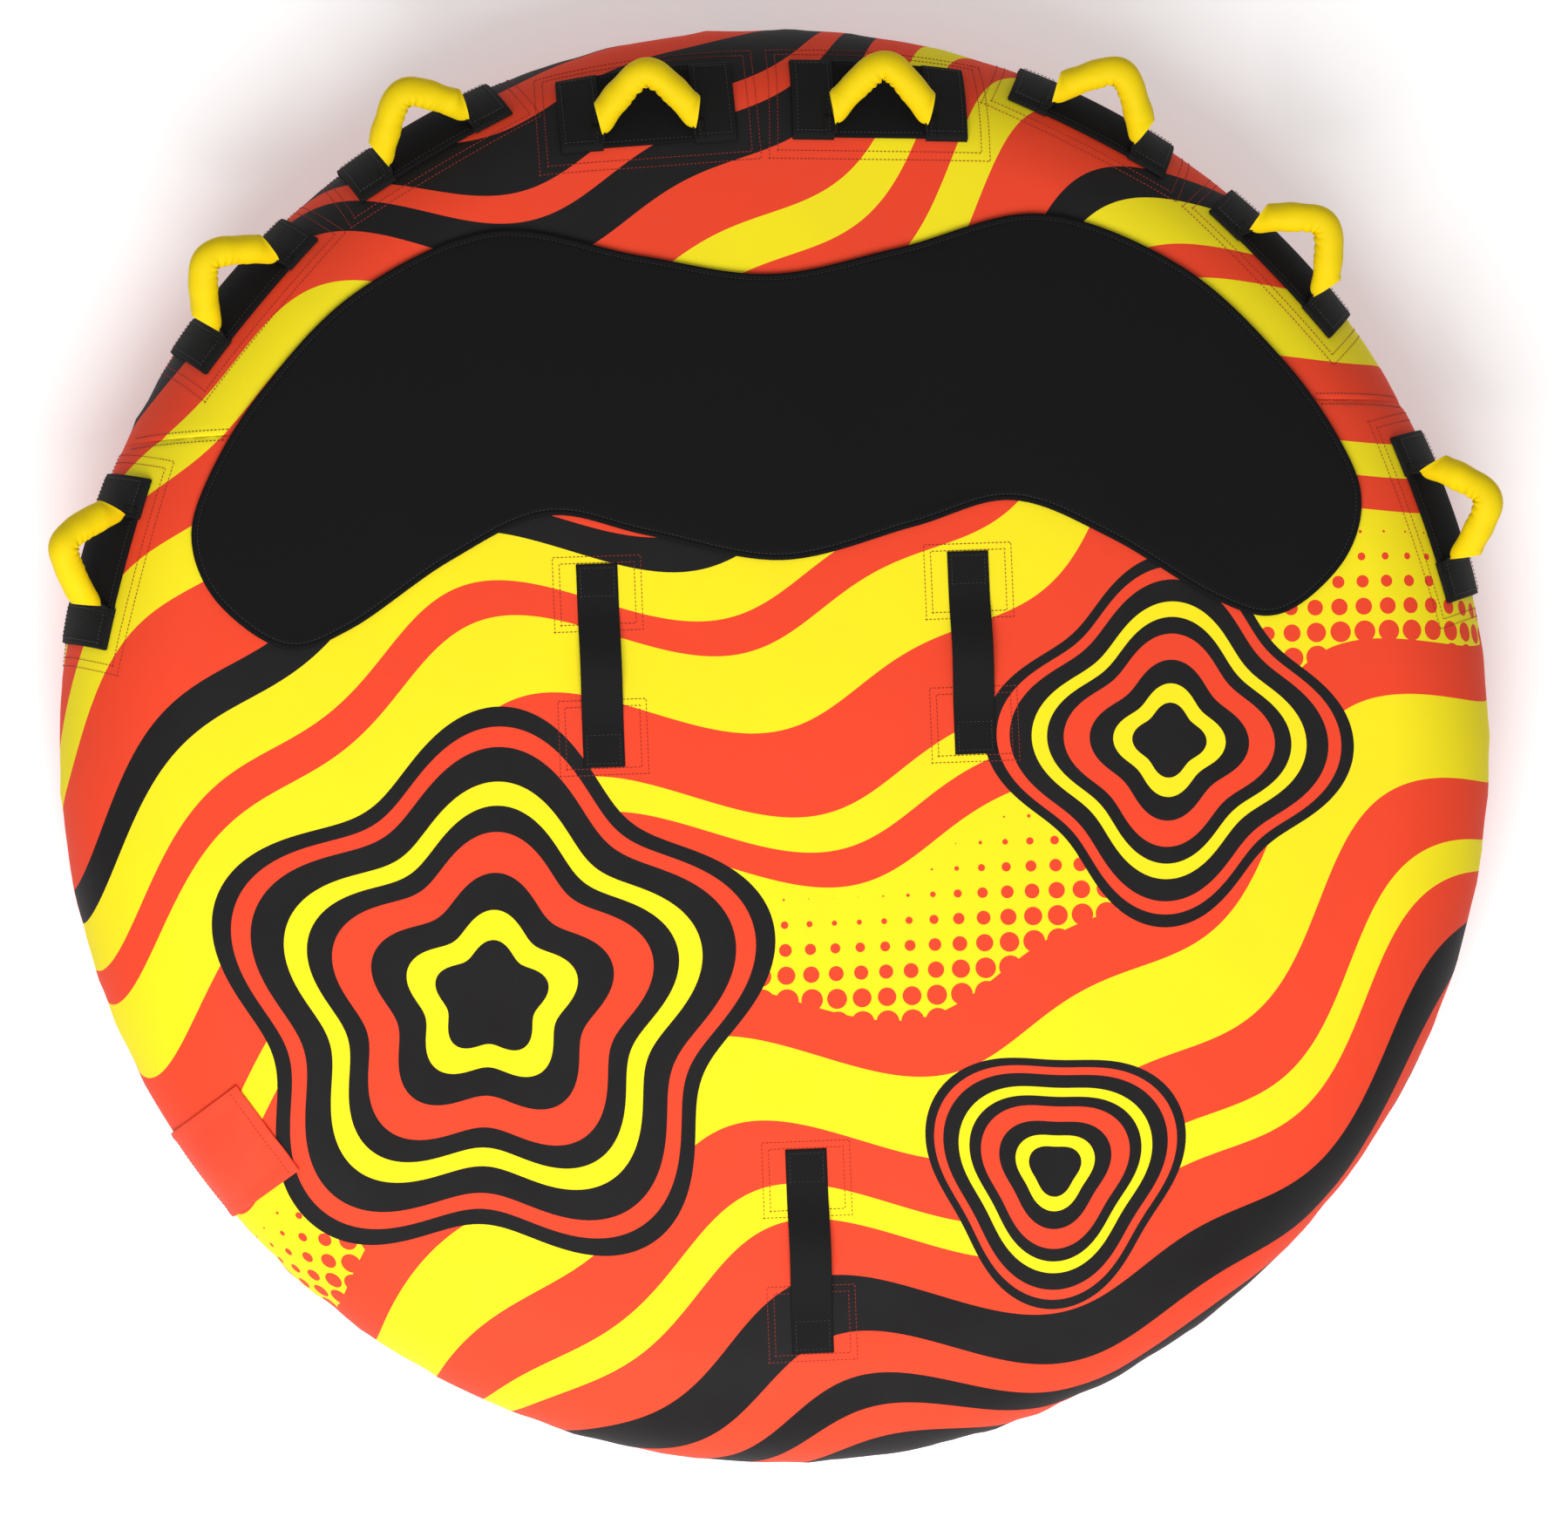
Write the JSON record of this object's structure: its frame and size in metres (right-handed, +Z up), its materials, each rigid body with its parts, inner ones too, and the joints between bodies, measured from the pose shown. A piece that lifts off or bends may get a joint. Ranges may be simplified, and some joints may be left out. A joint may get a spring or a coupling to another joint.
{
  "type": "towable tube",
  "caption": "Round inflatable towable deck tube with a zipped nylon cover, body pad, foam grip handles on knuckle pads, webbing deck straps, valve flap and tow ring.",
  "frame": {"origin": "middle of the flat underside that the tube rests on", "axes": "+Z up out of the deck, +Y towards the front with the tow ring and handles, +X to the rider's right"},
  "size_m": [1.7532, 1.75, 0.3654],
  "materials": {
    "cover_nylon": "coated woven nylon",
    "bladder_vinyl": "satin vinyl",
    "pad_neoprene": "matt knit-faced neoprene",
    "webbing": "woven webbing",
    "grip_sleeve": "nylon sleeve over foam",
    "valve_plastic": "moulded",
    "zip_plastic": "coil zip",
    "tow_steel": "welded stainless"
  },
  "bodies": {
    "tube": {"bladder": "bladder_vinyl", "bladder_baffle_1": "bladder_vinyl", "bladder_baffle_2": "bladder_vinyl", "bladder_baffle_3": "bladder_vinyl", "bladder_baffle_4": "bladder_vinyl", "body_pad": "pad_neoprene", "cover_base": "cover_nylon", "cover_deck_front": "cover_nylon", "cover_deck_rear": "cover_nylon", "deck_strap_left": "webbing", "deck_strap_rear": "webbing", "deck_strap_right": "webbing", "handle_band_l1a": "webbing", "handle_band_l1b": "webbing", "handle_band_l2a": "webbing", "handle_band_l2b": "webbing", "handle_band_l3a": "webbing", "handle_band_l3b": "webbing", "handle_band_l4a": "webbing", "handle_band_l4b": "webbing", "handle_band_r1a": "webbing", "handle_band_r1b": "webbing", "handle_band_r2a": "webbing", "handle_band_r2b": "webbing", "handle_band_r3a": "webbing", "handle_band_r3b": "webbing", "handle_band_r4a": "webbing", "handle_band_r4b": "webbing", "handle_pad_l1": "pad_neoprene", "handle_pad_l2": "pad_neoprene", "handle_pad_l3": "pad_neoprene", "handle_pad_l4": "pad_neoprene", "handle_pad_r1": "pad_neoprene", "handle_pad_r2": "pad_neoprene", "handle_pad_r3": "pad_neoprene", "handle_pad_r4": "pad_neoprene", "tow_strap": "webbing", "valve_body": "valve_plastic", "zip_chain": "zip_plastic"},
    "handle_l1": {"handle_grip_l1": "grip_sleeve", "handle_core_l1": "webbing"},
    "handle_l2": {"handle_grip_l2": "grip_sleeve", "handle_core_l2": "webbing"},
    "handle_l3": {"handle_grip_l3": "grip_sleeve", "handle_core_l3": "webbing"},
    "handle_l4": {"handle_grip_l4": "grip_sleeve", "handle_core_l4": "webbing"},
    "handle_r1": {"handle_grip_r1": "grip_sleeve", "handle_core_r1": "webbing"},
    "handle_r2": {"handle_grip_r2": "grip_sleeve", "handle_core_r2": "webbing"},
    "handle_r3": {"handle_grip_r3": "grip_sleeve", "handle_core_r3": "webbing"},
    "handle_r4": {"handle_grip_r4": "grip_sleeve", "handle_core_r4": "webbing"},
    "valve_flap": {"valve_flap": "cover_nylon"},
    "valve_cap": {"valve_cap": "valve_plastic"},
    "zip_slider": {"zip_slider": "zip_plastic"},
    "tow_ring": {"tow_ring": "tow_steel"}
  },
  "joints": [
    {"name": "handle_l1_fold", "type": "hinge", "parent": "tube", "child": "handle_l1", "pos_m": [-0.14057, 0.73616, 0.3155], "axis": [0.999, 0.0369, 0.0249], "range_deg": [-8, 99]},
    {"name": "handle_l2_fold", "type": "hinge", "parent": "tube", "child": "handle_l2", "pos_m": [-0.40479, 0.73632, 0.26823], "axis": [0.8763, 0.4818, 0], "range_deg": [-44, 62]},
    {"name": "handle_l3_fold", "type": "hinge", "parent": "tube", "child": "handle_l3", "pos_m": [-0.62834, 0.55786, 0.26823], "axis": [0.6639, 0.7478, 0], "range_deg": [-42, 62]},
    {"name": "handle_l4_fold", "type": "hinge", "parent": "tube", "child": "handle_l4", "pos_m": [-0.80396, 0.24426, 0.26823], "axis": [0.2907, 0.9568, 0], "range_deg": [-44, 62]},
    {"name": "handle_r1_fold", "type": "hinge", "parent": "tube", "child": "handle_r1", "pos_m": [0.14057, 0.73616, 0.3155], "axis": [0.999, -0.0369, -0.0249], "range_deg": [-8, 99]},
    {"name": "handle_r2_fold", "type": "hinge", "parent": "tube", "child": "handle_r2", "pos_m": [0.40479, 0.73632, 0.26823], "axis": [0.8763, -0.4818, 0], "range_deg": [-44, 62]},
    {"name": "handle_r3_fold", "type": "hinge", "parent": "tube", "child": "handle_r3", "pos_m": [0.62834, 0.55786, 0.26823], "axis": [0.6639, -0.7478, 0], "range_deg": [-42, 62]},
    {"name": "handle_r4_fold", "type": "hinge", "parent": "tube", "child": "handle_r4", "pos_m": [0.80396, 0.24426, 0.26823], "axis": [0.2907, -0.9568, 0], "range_deg": [-44, 62]},
    {"name": "valve_flap_open", "type": "hinge", "parent": "tube", "child": "valve_flap", "pos_m": [-0.72157, -0.49778, 0.16029], "axis": [0.5678, -0.8231, 0], "range_deg": [0, 150]},
    {"name": "valve_cap_turn", "type": "hinge", "parent": "tube", "child": "valve_cap", "pos_m": [-0.69658, -0.48054, 0.24124], "axis": [-0.6708, -0.4627, 0.5796], "range_deg": [0, 270]},
    {"name": "zip_slider_run", "type": "hinge", "parent": "tube", "child": "zip_slider", "pos_m": [0, 0, 0.06633], "axis": [0, 0, 1], "range_deg": [0, 51]},
    {"name": "tow_ring_swing", "type": "hinge", "parent": "tube", "child": "tow_ring", "pos_m": [0, 0.8665, 0.08355], "axis": [1, 0, 0], "range_deg": [-15, 120]}
  ]
}
